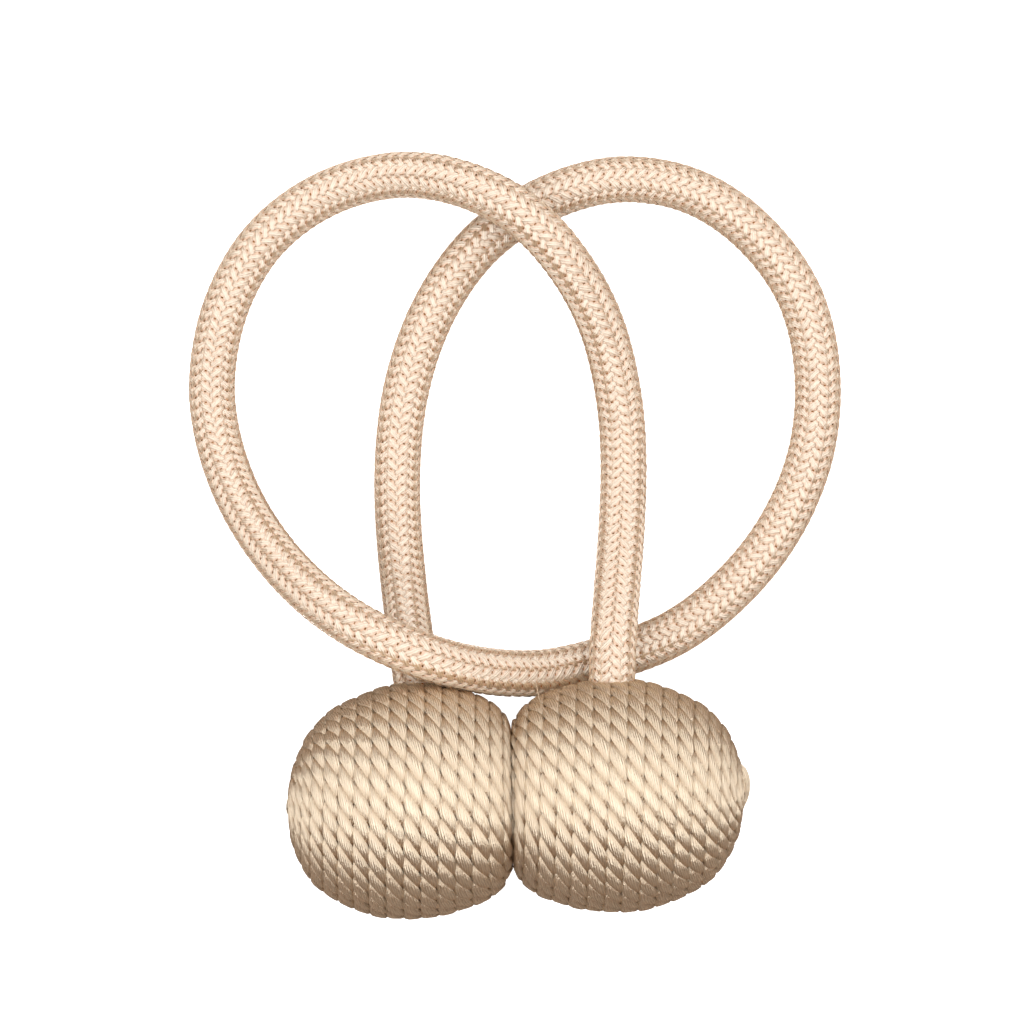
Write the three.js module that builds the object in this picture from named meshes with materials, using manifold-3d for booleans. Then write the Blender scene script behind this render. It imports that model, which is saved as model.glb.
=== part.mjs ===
// Magnetic curtain tieback: two rope-wound balls on one springy braided cord,
// lying on a table with the balls held side by side and the cord in two crossing loops.
// Millimetres, +Z up. X runs along the winding axis of the balls, Y up the loops.
// The origin is on the table, under the middle of the pair of balls.
import * as THREE from 'three';
import { mergeVertices } from 'three/addons/utils/BufferGeometryUtils.js';
import Module from 'manifold-3d';

// Driving dimensions
const GAP = 0.3; // between pieces that touch
const ROPE = 2.6; // from one turn of the wound rope to the next
const ROPE_RIDGE = 0.55; // how far a turn stands out of the groove beside it
const BALLS = [
  { name: 'ball_left', radius: 17.6, length: 33.3, x: -17.4, y: -0.25, contactSide: 1 },
  { name: 'ball_right', radius: 17.4, length: 34.5, x: 16.8, y: 0.5, contactSide: -1 },
];
const REST_FLAT = 0.7; // how far the weight of a ball presses its turns flat
const CORD = 7;
const SOCKET_CLEARANCE = 0.35; // round the cord, where the turns part for it
const CORD_SIDES = 12;
const CORD_STEPS = 80;
const BALL_SIDES = 44;
const STEPS_A_TURN = 3;

// Outline of a wound ball from its closed outer end to the rim of its flat contact face:
// the place along the axis in half lengths, and the radius in ball radii.
const BALL_OUTLINE = [
  { along: -1, radius: 0 },
  { along: -0.97, radius: 0.25 },
  { along: -0.89, radius: 0.47 },
  { along: -0.73, radius: 0.7 },
  { along: -0.48, radius: 0.86 },
  { along: -0.2, radius: 0.965 },
  { along: 0.05, radius: 1 },
  { along: 0.4, radius: 0.955 },
  { along: 0.75, radius: 0.845 },
  { along: 0.93, radius: 0.735 },
  { along: 1, radius: 0.61 },
];

// Middle line of the cord, from the left ball to the right one. It runs up the middle, round
// the right-hand loop, behind the last stretch, over the first, round the left-hand loop, over
// the first stretch again as one long hump, and down into the right ball.
const CORD_ROUTE = [
  [-14.5, 15.3, 15.3], [-15.1, 19.6, 12.6], [-15.9, 24.8, 8.6], [-16.8, 31.8, 5],
  [-17.8, 44.5, 3.6], [-16.9, 58.8, 3.6], [-12.9, 71.8, 3.6], [-5.4, 82.8, 3.6],
  [5.1, 89.9, 3.6], [15.9, 92.6, 3.6], [26.7, 90.7, 3.6], [35.7, 84.6, 3.6],
  [42.6, 75, 3.6], [45.2, 63.3, 3.6], [44.1, 51, 3.6], [39.2, 39.7, 3.6],
  [31.9, 31, 4.2], [23.5, 24.7, 5.8], [14.3, 21.2, 8], [3.9, 18.9, 11.6],
  [-6.2, 19.7, 17.1], [-14.5, 22, 20.9], [-23.4, 26, 20.6], [-31.5, 32, 15.9],
  [-38.7, 40.5, 9.2], [-43.4, 49.5, 4.9], [-45.6, 60.3, 3.6], [-43.8, 72.6, 3.6],
  [-38.1, 83.1, 3.6], [-29.1, 90.1, 3.9], [-18.3, 93.1, 6], [-8.4, 91.8, 9.5],
  [0.9, 87.1, 11.3], [8.2, 79.2, 9.5], [13.2, 69.5, 6.1], [15.9, 55.7, 4.1],
  [15.9, 42.3, 6.4], [15.1, 31.8, 11.2], [14.4, 23, 15.7], [14.2, 15.3, 17.4],
];

const { Manifold, Mesh } = await startManifold();

async function startManifold() {
  const wasm = await Module();
  wasm.setup();
  return wasm;
}

function toSolid(geometry) {
  const points = geometry.clone();
  points.deleteAttribute('normal');
  points.deleteAttribute('uv');
  const merged = mergeVertices(points, 1e-4);
  return new Manifold(new Mesh({
    numProp: 3,
    vertProperties: new Float32Array(merged.attributes.position.array),
    triVerts: new Uint32Array(merged.index.array),
  }));
}

function toGeometry(solid) {
  const mesh = solid.getMesh();
  const geometry = new THREE.BufferGeometry();
  geometry.setAttribute('position', new THREE.BufferAttribute(mesh.vertProperties, 3));
  geometry.setIndex(new THREE.BufferAttribute(mesh.triVerts, 1));
  return geometry;
}

// Half section of a ball, radius and place along the axis, with each turn of rope as a ridge.
function woundProfile(ball) {
  const outline = new THREE.SplineCurve(BALL_OUTLINE.map(({ along, radius }) =>
    new THREE.Vector2(radius * ball.radius, along * ball.length / 2)));
  const steps = Math.round(outline.getLength() / ROPE) * STEPS_A_TURN;
  const profile = [new THREE.Vector2(0, -ball.length / 2)];
  for (let step = 1; step <= steps; step += 1) {
    const point = outline.getPointAt(step / steps);
    const tangent = outline.getTangentAt(step / steps);
    const depth = step % STEPS_A_TURN === 0 ? ROPE_RIDGE : 0;
    profile.push(new THREE.Vector2(point.x - tangent.y * depth, point.y + tangent.x * depth));
  }
  const rim = profile[profile.length - 1];
  rim.y = ball.length / 2;
  profile.push(new THREE.Vector2(0, ball.length / 2));
  return profile;
}

// Where the turns part, the cord enters the ball: a short round socket along the cord's end.
function socket(end, outward) {
  const radius = CORD / 2 + SOCKET_CLEARANCE;
  const geometry = new THREE.CylinderGeometry(radius, radius, CORD, 2 * CORD_SIDES);
  geometry.translate(0, CORD / 2 - GAP, 0);
  geometry.applyQuaternion(new THREE.Quaternion().setFromUnitVectors(
    new THREE.Vector3(0, 1, 0), outward));
  geometry.translate(end.x, end.y, end.z);
  return toSolid(geometry);
}

function woundBall(ball, cordEnd, cordDirection) {
  const geometry = new THREE.LatheGeometry(woundProfile(ball), BALL_SIDES);
  geometry.rotateZ(-ball.contactSide * Math.PI / 2);
  geometry.translate(ball.x, ball.y, ball.radius - REST_FLAT);
  const solid = toSolid(geometry)
    .trimByPlane([0, 0, 1], 0)
    .subtract(socket(cordEnd, cordDirection));
  return toGeometry(solid);
}

function cordSection() {
  const section = new THREE.Shape();
  for (let side = 0; side < CORD_SIDES; side += 1) {
    const angle = (side + 0.5) * 2 * Math.PI / CORD_SIDES;
    const x = CORD / 2 * Math.cos(angle);
    const y = CORD / 2 * Math.sin(angle);
    if (side === 0) section.moveTo(x, y);
    else section.lineTo(x, y);
  }
  section.closePath();
  return section;
}

function braidedCord(path) {
  const geometry = new THREE.ExtrudeGeometry(cordSection(), {
    steps: CORD_STEPS,
    extrudePath: path,
    bevelEnabled: false,
  });
  return toGeometry(toSolid(geometry));
}

const woundRope = new THREE.MeshStandardMaterial({ color: 0xd9c3a3, roughness: 0.5, metalness: 0 });
const braid = new THREE.MeshStandardMaterial({ color: 0xe2cfb0, roughness: 0.5, metalness: 0 });

const route = new THREE.CatmullRomCurve3(
  CORD_ROUTE.map((point) => new THREE.Vector3(...point)), false, 'centripetal');
const cordEnds = [
  { point: route.getPointAt(0), outward: route.getTangentAt(0) },
  { point: route.getPointAt(1), outward: route.getTangentAt(1).negate() },
];

const tieback = new THREE.Group();
BALLS.forEach((ball, index) => {
  const { point, outward } = cordEnds[index];
  const mesh = new THREE.Mesh(woundBall(ball, point, outward), woundRope);
  mesh.name = ball.name;
  tieback.add(mesh);
});
const cord = new THREE.Mesh(braidedCord(route), braid);
cord.name = 'cord';
tieback.add(cord);

export default tieback;
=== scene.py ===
"""Magnetic curtain tieback: two balls wound with twisted rope, on one springy braided cord."""
import math
import bpy
import numpy as np
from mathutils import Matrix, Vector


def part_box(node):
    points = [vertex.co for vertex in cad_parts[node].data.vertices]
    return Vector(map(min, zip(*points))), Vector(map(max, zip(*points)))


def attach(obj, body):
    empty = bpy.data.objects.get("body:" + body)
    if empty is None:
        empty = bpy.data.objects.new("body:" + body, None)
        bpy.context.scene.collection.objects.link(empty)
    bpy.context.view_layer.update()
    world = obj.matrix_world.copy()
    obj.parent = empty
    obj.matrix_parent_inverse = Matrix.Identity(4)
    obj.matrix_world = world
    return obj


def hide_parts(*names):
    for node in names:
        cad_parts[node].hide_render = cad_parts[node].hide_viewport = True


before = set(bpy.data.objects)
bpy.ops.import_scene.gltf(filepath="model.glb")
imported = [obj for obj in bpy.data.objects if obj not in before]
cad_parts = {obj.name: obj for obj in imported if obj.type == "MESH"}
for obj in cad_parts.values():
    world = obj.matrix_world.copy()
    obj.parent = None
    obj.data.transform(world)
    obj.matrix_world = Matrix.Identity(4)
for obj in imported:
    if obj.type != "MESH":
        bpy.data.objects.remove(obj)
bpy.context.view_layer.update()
bpy.ops.object.select_all(action="DESELECT")

# The cord: a tubular braid over a springy core, held in a ball at each end. It leaves the left
# ball, makes the right-hand loop, then the left-hand one, and ends in the right ball. It lies
# on the table except where it crosses itself, which it does in long humps.
CORD_DIAMETER = 0.007
CORD_ROUTE = [
    (-0.0145, 0.0153, 0.0153), (-0.0151, 0.0196, 0.0126), (-0.0159, 0.0248, 0.0086),
    (-0.0168, 0.0318, 0.0050), (-0.0178, 0.0445, 0.0036), (-0.0169, 0.0588, 0.0036),
    (-0.0129, 0.0718, 0.0036), (-0.0054, 0.0828, 0.0036), (0.0051, 0.0899, 0.0036),
    (0.0159, 0.0926, 0.0036), (0.0267, 0.0907, 0.0036), (0.0357, 0.0846, 0.0036),
    (0.0426, 0.0750, 0.0036), (0.0452, 0.0633, 0.0036), (0.0441, 0.0510, 0.0036),
    (0.0392, 0.0397, 0.0036), (0.0320, 0.0309, 0.0042), (0.0236, 0.02455, 0.0058),
    (0.0143, 0.02105, 0.0080), (0.0039, 0.01875, 0.0116), (-0.0062, 0.0194, 0.0171),
    (-0.0145, 0.02175, 0.0209), (-0.0235, 0.02585, 0.0206), (-0.0316, 0.0318, 0.0159),
    (-0.0388, 0.0403, 0.0092), (-0.0434, 0.0495, 0.0049), (-0.0456, 0.0603, 0.0036),
    (-0.0438, 0.0726, 0.0036), (-0.0381, 0.0831, 0.0036), (-0.0291, 0.0901, 0.0039),
    (-0.0183, 0.0931, 0.0060), (-0.0084, 0.0918, 0.0095), (0.0009, 0.0871, 0.0113),
    (0.0082, 0.0792, 0.0095), (0.0132, 0.0695, 0.0061), (0.0159, 0.0557, 0.0041),
    (0.0159, 0.0423, 0.0064), (0.0151, 0.0318, 0.0112), (0.0144, 0.0230, 0.0157),
    (0.0142, 0.0153, 0.0174),
]
ROUTE_STEP = 0.0005
END_IN_BALL = 0.0045


def unit(vectors):
    return vectors / np.linalg.norm(vectors, axis=-1, keepdims=True)


def distance_along(line):
    return np.concatenate([[0], np.cumsum(np.linalg.norm(np.diff(line, axis=0), axis=1))])


def evenly(line, step):
    """The same line, with its points an even step apart."""
    along = distance_along(line)
    places = np.linspace(0, along[-1], int(round(along[-1] / step)) + 1)
    return np.stack([np.interp(places, along, values) for values in line.T], axis=1)


def smooth_line(points, between=24):
    """A centripetal Catmull-Rom line through the points."""
    points = np.array(points)
    points = np.vstack([2 * points[0] - points[1], points, 2 * points[-1] - points[-2]])
    line = []
    for four in zip(points, points[1:], points[2:], points[3:]):
        knots = distance_along(np.array(four))
        knots = np.concatenate([[0], np.cumsum(np.sqrt(np.diff(knots)))])
        for t in np.linspace(knots[1], knots[2], between, endpoint=False):
            row = list(four)
            for reach in (1, 2, 3):
                row = [((knots[i + reach] - t) * p + (t - knots[i]) * q) / (knots[i + reach] - knots[i])
                       for i, (p, q) in enumerate(zip(row, row[1:]))]
            line.append(row[0])
    line.append(points[-2])
    return np.array(line)


cord_line = evenly(smooth_line(CORD_ROUTE), ROUTE_STEP)

# The braid: 24 flat satin yarns, each over two and under two of the others, worked round the
# core. It shows 12 ribs of slanted floats, whose slant turns from rib to rib, and a small
# dark hole wherever four yarns meet.
RIBS = 12
RIB_ANGLE = 2 * math.pi / RIBS
BRAID_PHASE = math.radians(30)
FLOAT_PITCH = 0.00157
FIRST_FLOAT = 1.5  # pitches from the cord's end
# A float from end to end, as the degrees it has turned round the cord and its widths there,
# and its bowed section from edge to edge.
FLOAT_TURNS = [-20, -11, -7.5, 0, 7.5, 11, 20]
FLOAT_WIDTHS = [0.00105, 0.00155, 0.00086, 0.00162, 0.00086, 0.00155, 0.00105]
FLOAT_BOW = [-1, -0.45, 0.45, 1]
YARN_BULGE = 0.00013
YARN_WAVE = 0.00018
CREST_REACH = 0.00005  # past the cord's nominal radius
YARN_ANGLE = math.atan(RIB_ANGLE * CORD_DIAMETER / 2 / FLOAT_PITCH)
BRAID_RADIUS = CORD_DIAMETER / 2 + CREST_REACH - YARN_BULGE - YARN_WAVE
# How unevenly the floats lie along the cord, in their width and in their height.
UNEVEN_PLACE = 0.012 * FLOAT_PITCH
UNEVEN_WIDTH = 0.01
UNEVEN_HEIGHT = 0.000008
BRAID_SEED = 7
STREAKS_APART = 0.37  # metres of finish between the streaks of one strand and the next


def carried_frame(line):
    """Directions sideways from a line at each of its points, with no twist along it."""
    along = unit(np.gradient(line, axis=0))
    side = np.cross(along[0], (0, 0, 1))
    sides = []
    for direction in along:
        side = unit(side - direction * side.dot(direction))
        sides.append(side)
    sides = np.array(sides)
    return sides, np.cross(along, sides)


into_ball = END_IN_BALL * unit(cord_line[[0, -1]] - cord_line[[1, -2]])
braid_line = np.vstack([cord_line[0] + into_ball[0], cord_line, cord_line[-1] + into_ball[1]])
braid_line = evenly(braid_line, ROUTE_STEP)
braid_along = distance_along(braid_line)
braid_side, braid_up = carried_frame(braid_line)


def on_cord(place, angle, radius):
    """Points round the cord, from places along it, angles round it and distances from its middle."""
    def there(values):
        return np.stack([np.interp(place, braid_along, value) for value in values.T], axis=-1)
    outward = np.cos(angle)[..., None] * there(braid_side) + np.sin(angle)[..., None] * there(braid_up)
    return there(braid_line) + radius[..., None] * outward


def closed_tubes(name, rings, fibre, yarn, strand=0):
    """A piece of one or more closed tubes. rings holds points by tube, ring and place round the
    ring. fibre holds metres across and along the fibres, and yarn the place across the yarn, 0 on
    its crest and 1 at its edges, with how far the yarn rises over its neighbours there. Both go
    all the way round, with the first place again at the end. strand says which strand of a rope
    each place round the ring belongs to."""
    count, length, around = rings.shape[:3]
    ring, turn = np.mgrid[0:length - 1, 0:around]
    ring = np.stack([ring, ring, ring + 1, ring + 1], axis=-1).reshape(-1, 4)
    turn = np.stack([turn, turn + 1, turn + 1, turn], axis=-1).reshape(-1, 4)
    first = (np.arange(count) * length * around)[:, None]
    walls = first[:, :, None] + ring * around + turn % around
    near_end = first + np.arange(around)[::-1]
    far_end = first + (length - 1) * around + np.arange(around)
    mesh = bpy.data.meshes.new(name)
    mesh.from_pydata(rings.reshape(-1, 3).tolist(), [],
                     walls.reshape(-1, 4).tolist() + near_end.tolist() + far_end.tolist())
    strand = np.broadcast_to(strand, around)[turn[:, :1] % around][..., None]
    for layer_name, place, apart in (("fibre", fibre, STREAKS_APART * strand), ("yarn", yarn, 0)):
        corners = [place[:, ring, turn] + apart, place[:, 0, :around][:, ::-1], place[:, -1, :around]]
        layer = mesh.uv_layers.new(name=layer_name)
        layer.data.foreach_set("uv", np.concatenate([c.ravel() for c in corners]).astype(np.float32))
    mesh.shade_smooth()
    piece = bpy.data.objects.new(name, mesh)
    bpy.context.scene.collection.objects.link(piece)
    return piece


def rib_of_floats(rib, rng):
    """The floats of one rib: their rings, and the places of the points on the fibres and yarns."""
    slant = 1 if rib % 2 == 0 else -1
    first = (FIRST_FLOAT if slant == 1 else FIRST_FLOAT + 0.5) * FLOAT_PITCH
    last = braid_along[-1] - FIRST_FLOAT * FLOAT_PITCH
    centre = np.arange(first, last, FLOAT_PITCH)[:, None, None]
    centre = centre + rng.normal(0, UNEVEN_PLACE, centre.shape)
    turned = np.radians(FLOAT_TURNS)[:, None]
    bow = np.array(FLOAT_BOW)
    width = np.array(FLOAT_WIDTHS)[:, None] * (1 + rng.normal(0, UNEVEN_WIDTH, centre.shape))
    side = width / 2 * bow
    angle = BRAID_PHASE + (rib + 0.5) * RIB_ANGLE + slant * turned
    angle = angle + side * math.cos(YARN_ANGLE) / (CORD_DIAMETER / 2)
    place = centre + turned / RIB_ANGLE * FLOAT_PITCH - slant * side * math.sin(YARN_ANGLE)
    rise = np.cos(math.pi * turned / RIB_ANGLE)
    radius = BRAID_RADIUS + YARN_WAVE * rise + YARN_BULGE * (1 - bow ** 2)
    radius = radius + rng.normal(0, UNEVEN_HEIGHT, centre.shape)
    across = np.concatenate([side, 2 * side[..., -1:]], axis=-1) + 0 * turned
    lengthwise = turned * CORD_DIAMETER / 2 / math.sin(YARN_ANGLE) + 0 * across
    start = rng.uniform(0, 1, centre.shape)
    fibre = np.stack([across + start, lengthwise + 3 * start], axis=-1)
    # Across the yarn, 0 on its crest and 1 at its edges, where the finish paints shade, and its rise.
    yarn = np.stack(np.broadcast_arrays(np.append(bow, -1), rise, across)[:2], axis=-1)
    return on_cord(place, angle, radius), fibre, yarn


rng = np.random.default_rng(BRAID_SEED)
ribs = [rib_of_floats(rib, rng) for rib in range(RIBS)]
cord = closed_tubes("cord_braid", *(np.concatenate(parts) for parts in zip(*ribs)))
cord.data.set_sharp_from_angle(angle=math.radians(60))

# The round of yarns in shade that shows at the bottom of the holes.
UNDER_DEPTH = 0.00014
UNDER_RINGS = 110
UNDER_SIDES = 10
under_place = np.linspace(0, braid_along[-1], UNDER_RINGS)[:, None]
under_angle = np.linspace(0, 2 * math.pi, UNDER_SIDES + 1)
under_rings = on_cord(under_place + 0 * under_angle, under_angle + 0 * under_place,
                      np.full((UNDER_RINGS, UNDER_SIDES + 1), BRAID_RADIUS - UNDER_DEPTH))
under_fibre = np.stack(np.broadcast_arrays(under_angle * CORD_DIAMETER / 2, under_place), axis=-1)
under = closed_tubes("cord_under", under_rings[None, :, :-1], under_fibre[None], 0 * under_fibre[None])


def satin_yarn(name, groove_shade, groove_from, deep, light, ply, relief, bulge, rise, shine, gloss, glint, fuzz):
    """Shiny filament yarn. Plies lie side by side, with finer streaks along them, in a deep and a
    light colour. They stand up by their relief on a yarn that bulges across and rises over its
    neighbours, all in metres. The grooves between yarns begin at groove_from. There the colour is
    mixed towards the groove colour, a painted shade, darker and warmer, and the yarn is duller.
    shine is the roughness of the crests, gloss and glint are the strength and colour of the
    highlight, which is drawn out across the fibres, and fuzz is the light that loose filaments
    catch."""
    finish = bpy.data.materials.new(name)
    finish.use_nodes = True
    nodes, links = finish.node_tree.nodes, finish.node_tree.links
    shader = nodes["Principled BSDF"]
    fibre = nodes.new("ShaderNodeUVMap")
    fibre.uv_map = "fibre"
    stretch = nodes.new("ShaderNodeMapping")
    stretch.inputs["Scale"].default_value = (1 / ply, 1 / (4 * ply), 1)
    plies = nodes.new("ShaderNodeTexWave")
    plies.inputs["Scale"].default_value = 0.314
    plies.inputs["Distortion"].default_value = 2.5
    plies.inputs["Detail"].default_value = 2
    streaks = nodes.new("ShaderNodeTexNoise")
    streaks.inputs["Scale"].default_value = 1.5
    streaks.inputs["Detail"].default_value = 3
    streaks.inputs["Roughness"].default_value = 0.65
    height = nodes.new("ShaderNodeMath")
    height.operation = "MULTIPLY_ADD"
    height.inputs[1].default_value = 0.45
    tone = nodes.new("ShaderNodeValToRGB")
    tone.color_ramp.elements[0].position = 0.45
    tone.color_ramp.elements[0].color = (*deep, 1)
    tone.color_ramp.elements[1].position = 0.95
    tone.color_ramp.elements[1].color = (*light, 1)
    yarn = nodes.new("ShaderNodeUVMap")
    yarn.uv_map = "yarn"
    across = nodes.new("ShaderNodeSeparateXYZ")
    fall = nodes.new("ShaderNodeMath")
    fall.operation = "MULTIPLY"
    # The groove mask: towards the yarn's edges it mixes in the groove colour, a painted shade.
    depth = nodes.new("ShaderNodeMapRange")
    depth.inputs["From Min"].default_value = groove_from
    dull = nodes.new("ShaderNodeMapRange")
    dull.inputs["From Min"].default_value = groove_from
    dull.inputs["To Min"].default_value = shine
    dull.inputs["To Max"].default_value = 0.95
    shade = nodes.new("ShaderNodeMix")
    shade.data_type = "RGBA"
    shade.inputs["B"].default_value = (*groove_shade, 1)
    bulging = nodes.new("ShaderNodeMath")
    bulging.operation = "MULTIPLY_ADD"
    bulging.inputs[1].default_value = -bulge / relief
    rising = nodes.new("ShaderNodeMath")
    rising.operation = "MULTIPLY_ADD"
    rising.inputs[1].default_value = rise / relief
    ridges = nodes.new("ShaderNodeBump")
    ridges.inputs["Strength"].default_value = 1
    ridges.inputs["Distance"].default_value = relief
    grain = nodes.new("ShaderNodeTangent")
    grain.direction_type = "UV_MAP"
    grain.uv_map = "fibre"
    links.new(fibre.outputs["UV"], stretch.inputs["Vector"])
    links.new(stretch.outputs["Vector"], plies.inputs["Vector"])
    links.new(stretch.outputs["Vector"], streaks.inputs["Vector"])
    links.new(plies.outputs["Fac"], height.inputs[0])
    links.new(streaks.outputs["Fac"], height.inputs[2])
    links.new(height.outputs["Value"], tone.inputs["Fac"])
    links.new(yarn.outputs["UV"], across.inputs["Vector"])
    links.new(across.outputs["X"], fall.inputs[0])
    links.new(across.outputs["X"], fall.inputs[1])
    links.new(fall.outputs["Value"], depth.inputs["Value"])
    links.new(fall.outputs["Value"], dull.inputs["Value"])
    links.new(dull.outputs["Result"], shader.inputs["Roughness"])
    links.new(depth.outputs["Result"], shade.inputs["Factor"])
    links.new(tone.outputs["Color"], shade.inputs["A"])
    links.new(shade.outputs["Result"], shader.inputs["Base Color"])
    links.new(fall.outputs["Value"], bulging.inputs[0])
    links.new(height.outputs["Value"], bulging.inputs[2])
    links.new(across.outputs["Y"], rising.inputs[0])
    links.new(bulging.outputs["Value"], rising.inputs[2])
    links.new(rising.outputs["Value"], ridges.inputs["Height"])
    links.new(ridges.outputs["Normal"], shader.inputs["Normal"])
    links.new(grain.outputs["Tangent"], shader.inputs["Tangent"])
    shader.inputs["Anisotropic"].default_value = 1
    shader.inputs["IOR"].default_value = gloss
    shader.inputs["Specular Tint"].default_value = (*glint, 1)
    shader.inputs["Specular IOR Level"].default_value = 1
    shader.inputs["Sheen Weight"].default_value = fuzz
    shader.inputs["Sheen Roughness"].default_value = 0.4
    shader.inputs["Sheen Tint"].default_value = (1, 0.84, 0.64, 1)
    return finish


def join_to(piece, other):
    """Makes the other piece part of the first."""
    bpy.ops.object.select_all(action="DESELECT")
    other.select_set(True)
    piece.select_set(True)
    bpy.context.view_layer.objects.active = piece
    bpy.ops.object.join()


# The cord's finishes: fine satin yarn whose loose filaments catch the light, with painted shade
# where its yarns meet, and yarn in shade, whose warmer colour of its own is painted shade.
braid_finish = satin_yarn(
    "braided_cord", groove_shade=(0.49, 0.19, 0.062), groove_from=0.13,
    deep=(0.30, 0.145, 0.062), light=(0.45, 0.295, 0.175),
    ply=0.00036, relief=0.00013, bulge=0.00016, rise=0.00013,
    shine=0.36, gloss=2.8, glint=(1, 0.96, 0.86), fuzz=0.65)
# The yarn under the braid: a matt copy of the yarn whose warmer orange is painted shade.
under_painted_shade = bpy.data.materials.new("braid_in_shade")
under_painted_shade.use_nodes = True
in_shade = under_painted_shade.node_tree.nodes["Principled BSDF"]
in_shade.inputs["Base Color"].default_value = (0.62, 0.26, 0.09, 1)
in_shade.inputs["Roughness"].default_value = 0.9
cord.data.materials.append(braid_finish)
under.data.materials.append(under_painted_shade)
join_to(cord, under)
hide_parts("cord")
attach(cord, "root")

# A stray fibre: a few filaments of the braid's satin yarn that have worked loose just behind the
# right ball. They stand up out of the braid and lie over the ball's shoulder, thinner and thinner.
STRAY_FIBRE = [
    (0.0029, 0.0172, 0.0146), (0.0031, 0.0166, 0.0170), (0.0033, 0.0156, 0.0207),
    (0.0037, 0.0145, 0.0239), (0.0044, 0.0133, 0.0260), (0.0055, 0.0120, 0.0280),
]
STRAY_THICKNESS = [0.0002, 0.0002, 0.00018, 0.00016, 0.00013, 0.00008]
STRAY_SIDES = 5


def thread(name, points, thickness, sides):
    """A short thread through the points, with its thickness at each of them."""
    along = distance_along(np.array(points))
    line = smooth_line(points, between=8)
    place = distance_along(line)
    reach = np.interp(place / place[-1], along / along[-1], thickness) / 2
    side, up = carried_frame(line)
    angle = np.linspace(0, 2 * math.pi, sides + 1)
    outward = np.cos(angle[:-1])[:, None] * side[:, None] + np.sin(angle[:-1])[:, None] * up[:, None]
    rings = line[:, None] + reach[:, None, None] * outward
    fibre = np.stack(np.broadcast_arrays(angle * max(thickness) / 2, place[:, None]), axis=-1)
    yarn = np.broadcast_to((0.0, 1.0), fibre.shape)
    return closed_tubes(name, rings[None], fibre[None], yarn[None])


stray = thread("stray_fibre", STRAY_FIBRE, STRAY_THICKNESS, STRAY_SIDES)
stray.data.materials.append(braid_finish)
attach(stray, "root")

# The balls: each is a magnet core wound with thick three-strand satin rope, glued down turn
# beside turn, from the closed outer end to the rim of the flat face that meets the other ball
# and on over that face. The turns press each other flat, and their strands lie level.
ROPE_RADIUS = 0.00146
ROPE_PITCH = 0.0025
ROPE_SQUASH = 0.66  # its thickness off the core, as a part of its width
ROPE_SQUARE = 4  # 2 would be a round rope, and more is squarer
ROPE_STEP = 0.00065
ROPE_SEED = 3
# The strands' spacing is measured along the rope, and their lag from one turn to the next, as a
# part of it. The lobe is a strand's section in degrees round the rope, from one groove on.
STRAND_SPACING = 0.00313
STRAND_LAG = 0.1
STRAND_NOTCH = 0.34
STRAND_LOBE = [-60, -56, -42, -22, 0, 22, 42, 56]
FIBRE_TILT = 0.25  # part of the strands' twist that their own fibres turn back
# A hand-wound rope wanders outwards and in its twist, a little more or less every 12 mm.
WANDER_STEP = 0.012
WANDER_PAST_END = 0.02
WANDER_OUTWARD = 0.00005
WANDER_TWIST = 0.09
# The ball's half section: places along its axis and from it, as parts of its half width and
# radius, from the closed outer end at -1 to the contact face at 1.
BALL_OUTLINE = [
    (-1, 0), (-0.97, 0.25), (-0.89, 0.47), (-0.73, 0.70), (-0.48, 0.86), (-0.2, 0.965),
    (0.05, 1), (0.4, 0.975), (0.75, 0.87), (0.88, 0.79), (0.955, 0.71), (1, 0.61),
]
SECTION_STEP = 0.0001
TURN_STEP = 0.01  # radians
INNERMOST_TURN = 0.3 * ROPE_PITCH
REST_FLAT = 0.0007  # pressed flat where the ball rests on the table
CONTACT_REACH = 0.0003  # past the solid's contact face
LEAN_FADE = 0.006  # depth behind the contact face over which the turns' lean goes
CORE_STEP = 12
CORE_SIDES = 32
# The core's colour is the painted shade of a groove's flank.
CORE_SHADE = (0.8, 0)  # its place across and over the yarns, as dark as the flank of a groove


def winding_line(radius, half):
    """The rope's middle in the half section of a ball: places along the axis and radii."""
    outline = smooth_line([(along * half, r * radius, 0) for along, r in BALL_OUTLINE])[:, :2]
    outline = evenly(outline, SECTION_STEP)
    direction = unit(np.gradient(outline, axis=0))
    depth = ROPE_RADIUS * ROPE_SQUASH
    inset = outline - depth * np.stack([-direction[:, 1], direction[:, 0]], axis=1)
    face = half + CONTACT_REACH - depth
    inset = inset[(inset[:, 1] > INNERMOST_TURN) & (inset[:, 0] < face)]
    over_face = np.array([[face, inset[-1, 1] - SECTION_STEP], [face, INNERMOST_TURN]])
    return evenly(np.vstack([inset, over_face]), SECTION_STEP)


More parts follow.
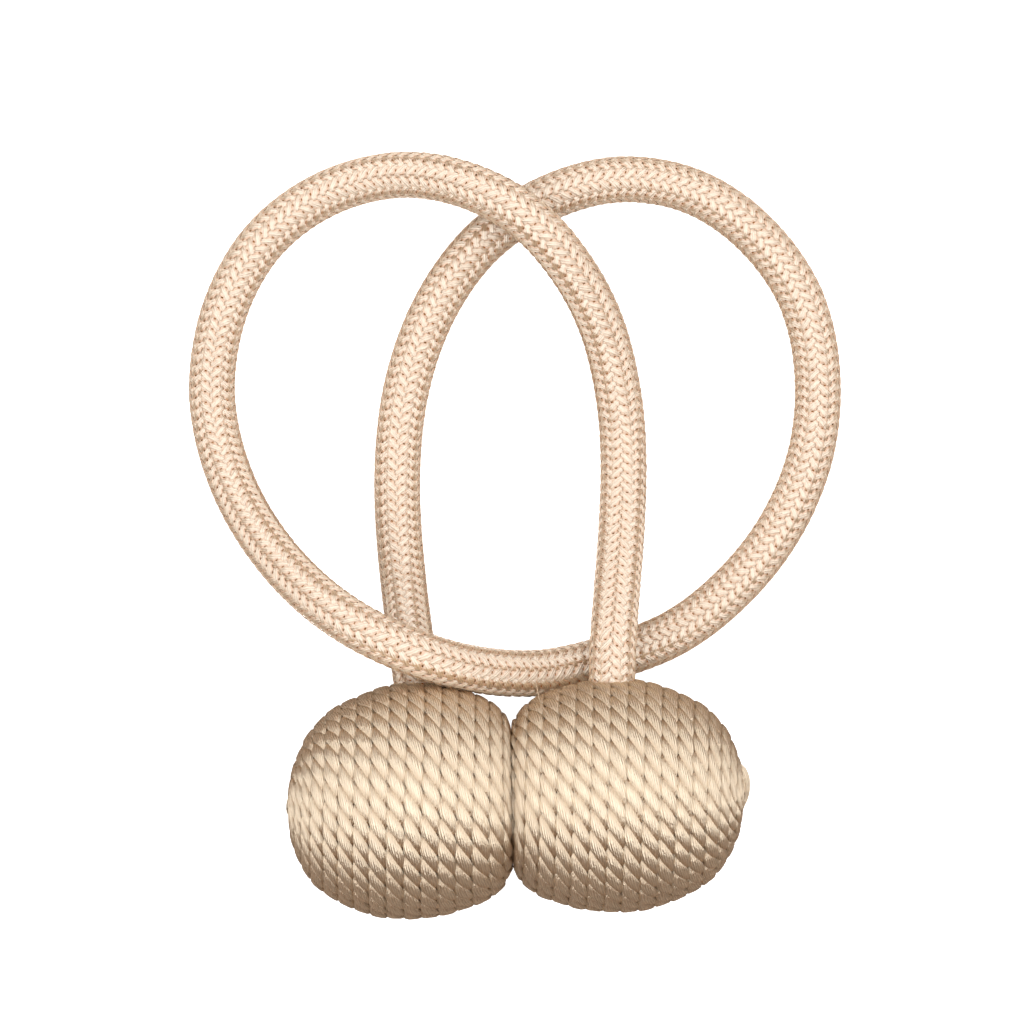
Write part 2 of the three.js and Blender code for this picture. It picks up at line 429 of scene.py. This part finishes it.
def wound_ball(name, box, contact_side, shift, lean):
    """A ball wound with rope, its contact face to the right (1) or left (-1). It is shifted up
    the picture from its solid, and its turns lean by so much sideways for each step that way."""
    rng = np.random.default_rng(ROPE_SEED)
    low, high = (np.array(corner) for corner in box)
    half = (high[0] - low[0]) / 2
    radius = (high[2] + REST_FLAT) / 2
    middle = np.array([(low[0] + high[0]) / 2, (low[1] + high[1]) / 2 + shift, radius - REST_FLAT])
    section = winding_line(radius, half)
    inward = distance_along(section)

    def on_section(turned, values):
        return np.interp((turned / 2 / math.pi - 0.5) * ROPE_PITCH, inward, values)

    def round_axis(turned, place, reach):
        return np.stack([contact_side * place, reach * np.cos(turned), reach * np.sin(turned)], axis=1)

    def leaning(points):
        """Moves the points as the turns lean, less and less towards the contact face."""
        to_face = half - contact_side * (points[..., 0] - middle[0])
        points[..., 0] += lean * (points[..., 1] - middle[1]) * np.clip(to_face / LEAN_FADE, 0, 1)

    def on_ball(turned):
        place = on_section(turned, section[:, 0])
        reach = on_section(turned, section[:, 1])
        return middle + round_axis(turned, place, reach)

    # The rope's middle line, and the directions off the core and along the ball from it.
    turned = math.pi + np.arange(0, 2 * math.pi * inward[-1] / ROPE_PITCH, TURN_STEP)
    along = distance_along(on_ball(turned))
    rope_along = np.linspace(0, along[-1], int(along[-1] / ROPE_STEP))
    turned = np.interp(rope_along, along, turned)
    line = on_ball(turned)
    slope = unit(np.gradient(section, axis=0))
    outward = unit(round_axis(turned, -on_section(turned, slope[:, 1]), on_section(turned, slope[:, 0])))
    knots = np.arange(0, rope_along[-1] + WANDER_PAST_END, WANDER_STEP)
    wander = [np.interp(rope_along, knots, rng.normal(0, 1, len(knots))) for _ in range(2)]
    line = line + outward * (WANDER_OUTWARD * wander[0])[:, None]
    direction = unit(np.gradient(line, axis=0))
    up = unit(np.cross(direction, outward))
    outward = np.cross(up, direction)

    # The strands. The rope's twist fits a whole number of them, less the lag, to every turn.
    tops = math.pi / 2 + 2 * math.pi * np.arange(-1, turned[-1] / 2 / math.pi + 2)
    strands = np.round(2 * math.pi * on_section(tops, section[:, 1]) / STRAND_SPACING) - STRAND_LAG
    twist = -2 * math.pi / 3 * (np.interp(turned, tops, np.cumsum(strands)) + WANDER_TWIST * wander[1])
    lobe = np.radians(STRAND_LOBE)
    lobe_reach = ROPE_RADIUS * (1 - STRAND_NOTCH * np.abs(lobe / lobe[0]) ** 3)
    angle = twist[:, None] + (np.radians([0, 120, 240])[:, None] + lobe).ravel()
    square = np.abs(np.cos(angle)) ** ROPE_SQUARE + np.abs(np.sin(angle)) ** ROPE_SQUARE
    square = square ** (-1 / ROPE_SQUARE)
    reach = (square * np.tile(lobe_reach, 3))[..., None]
    rings = line[:, None] + reach * (
        ROPE_SQUASH * np.cos(angle)[..., None] * outward[:, None] + np.sin(angle)[..., None] * up[:, None])
    leaning(rings)
    rings[..., 2] = np.maximum(rings[..., 2], 0)
    face = half + CONTACT_REACH
    rings[..., 0] = middle[0] + contact_side * np.minimum(contact_side * (rings[..., 0] - middle[0]), face)
    across = np.concatenate([angle, angle[:, :1] + 2 * math.pi], axis=1) - FIBRE_TILT * twist[:, None]
    fibre = np.stack([across * ROPE_RADIUS, np.broadcast_to(rope_along[:, None], across.shape)], axis=-1)
    # Across each strand, 0 on its crest and 1 in the notch, where the finish paints shade.
    yarn = np.append(np.tile(np.abs(lobe / lobe[0]), 3), 1) + 0 * across
    yarn = np.stack([yarn, np.cos(np.append(angle, angle[:, :1], axis=1))], axis=-1)
    strand = np.arange(3 * len(lobe)) // len(lobe)
    rope = closed_tubes(name, rings[None], fibre[None], yarn[None], strand)

    # The core that the rope is glued on, which shows at the bottom of the gaps between turns. It
    # takes the rope's finish at a groove's flank, so its colour is painted shade.
    hoop = section[::CORE_STEP]
    angle = contact_side * np.linspace(0, 2 * math.pi, CORE_SIDES + 1)
    skin = np.broadcast_arrays(
        contact_side * hoop[:, :1], hoop[:, 1:] * np.cos(angle), hoop[:, 1:] * np.sin(angle))
    skin = np.stack(skin, axis=-1) + middle
    leaning(skin)
    fibre = np.stack(np.broadcast_arrays(inward[::CORE_STEP, None], angle * radius), axis=-1)
    core = closed_tubes("core", skin[None, :, :-1], fibre[None], 0 * fibre[None] + CORE_SHADE)
    join_to(rope, core)
    return rope


# The rope's finish: shinier yarn, laid so that each strand stands out over its neighbours. Its
# colour is painted darker and warmer towards the notches between strands: painted shade.
rope_finish = satin_yarn(
    "wound_rope", groove_shade=(0.20, 0.075, 0.025), groove_from=0.0,
    deep=(0.215, 0.102, 0.050), light=(0.44, 0.272, 0.165),
    ply=0.00034, relief=0.00024, bulge=0.00005, rise=0.00080,
    shine=0.29, gloss=3.4, glint=(1, 0.89, 0.70), fuzz=0)

# The rope's cut end stands up a little where it is tucked in at the right ball's outer end.
TUCKED_END = [
    (0.0327, 0.0052, 0.0184), (0.0334, 0.0043, 0.0180), (0.0338, 0.0030, 0.0175),
    (0.0338, 0.0014, 0.0170), (0.0335, -0.0001, 0.0166), (0.0328, -0.0014, 0.0163),
]
TUCKED_THICKNESS = [0.0011, 0.0016, 0.0018, 0.0018, 0.0015, 0.0010]
TUCKED_SIDES = 12
tucked_end = thread("tucked_end", TUCKED_END, TUCKED_THICKNESS, TUCKED_SIDES)
tucked_end.data.materials.append(rope_finish)

# Each ball, with the side of its contact face, its shift up the picture and its turns' lean.
BALLS = [("ball_left", 1, 0.0001, 0.046), ("ball_right", -1, 0.00025, 0)]
for node, contact_side, shift, lean in BALLS:
    ball = wound_ball(node + "_rope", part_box(node), contact_side, shift, lean)
    ball.data.materials.append(rope_finish)
    if node == "ball_right":
        join_to(ball, tucked_end)
    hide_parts(node)
    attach(ball, "root")

# The table: a plain white sheet of paper that the tieback lies on, lit until no shadow shows.
# Glossy yarn doesn't mirror it. The lower half of the room stands in for its glow.
TABLE_SIZE = 3
TABLE_DROP = 0.0002
bpy.ops.mesh.primitive_plane_add(size=TABLE_SIZE, location=(0, 0, -TABLE_DROP))
bpy.ops.object.transform_apply(location=True, rotation=False, scale=False)
table = bpy.context.object
table.name = "table"
paper = bpy.data.materials.new("white_table")
paper.use_nodes = True
sheet = paper.node_tree.nodes["Principled BSDF"]
sheet.inputs["Base Color"].default_value = (0.6, 0.6, 0.6, 1)
sheet.inputs["Roughness"].default_value = 0.8
sheet.inputs["Emission Color"].default_value = (1, 1, 1, 1)
sheet.inputs["Emission Strength"].default_value = 1
table.data.materials.append(paper)
table.visible_glossy = False

# The light: one wide soft box over the table, a low reflector behind the loops, a board at each
# side, and dim warm light from the rest of the room, brighter from below, where the paper is.
world = bpy.context.scene.world or bpy.data.worlds.new("room")
bpy.context.scene.world = world
world.use_nodes = True
room = world.node_tree.nodes
room["Background"].inputs["Color"].default_value = (1, 0.93, 0.86, 1)
towards = room.new("ShaderNodeTexCoord")
upward = room.new("ShaderNodeSeparateXYZ")
below = room.new("ShaderNodeMapRange")
below.inputs["From Min"].default_value = -0.05
below.inputs["From Max"].default_value = 0.05
below.inputs["To Min"].default_value = 0.2
below.inputs["To Max"].default_value = 0.1
world.node_tree.links.new(towards.outputs["Generated"], upward.inputs["Vector"])
world.node_tree.links.new(upward.outputs["Z"], below.inputs["Value"])
world.node_tree.links.new(below.outputs["Result"], room["Background"].inputs["Strength"])


def light_panel(name, place, turned, width, height, brightness):
    """A flat soft light, equally bright however large it is, that the camera doesn't see."""
    rotation = [math.radians(degrees) for degrees in turned]
    bpy.ops.object.light_add(type="AREA", location=place, rotation=rotation)
    panel = bpy.context.object
    panel.name = name
    panel.data.shape = "RECTANGLE"
    panel.data.size = width
    panel.data.size_y = height
    panel.data.energy = brightness * math.pi * width * height
    panel.visible_camera = False


light_panel("soft_box", place=(0, 0.06, 0.6), turned=(0, 0, 0), width=3.2, height=1.78, brightness=2.05)
light_panel("reflector", place=(0, 0.95, 0.28), turned=(-73, 0, 0), width=1.2, height=0.3, brightness=3)
for side in (-1, 1):
    light_panel("side_board", place=(1.4 * side, 0.1, 0.3), turned=(0, 90 * side, 0), width=0.5, height=1.6,
                brightness=1.6)

# The camera looks straight down from 1.2 m, as the photograph does. Its picture is 154 mm wide
# at the height of the cord's middle.
VIEW_MIDDLE = (-0.0006, 0.0427)
CAMERA_HEIGHT = 1.2
VIEW_WIDTH = 0.1536
SENSOR_WIDTH = 36
bpy.ops.object.camera_add(location=(*VIEW_MIDDLE, CAMERA_HEIGHT), rotation=(0, 0, 0))
camera = bpy.context.object
camera.data.sensor_width = SENSOR_WIDTH
camera.data.lens = SENSOR_WIDTH * (CAMERA_HEIGHT - CORD_DIAMETER / 2) / VIEW_WIDTH
camera.data.clip_start = 0.01
bpy.context.scene.camera = camera
bpy.context.scene.view_settings.view_transform = "Standard"
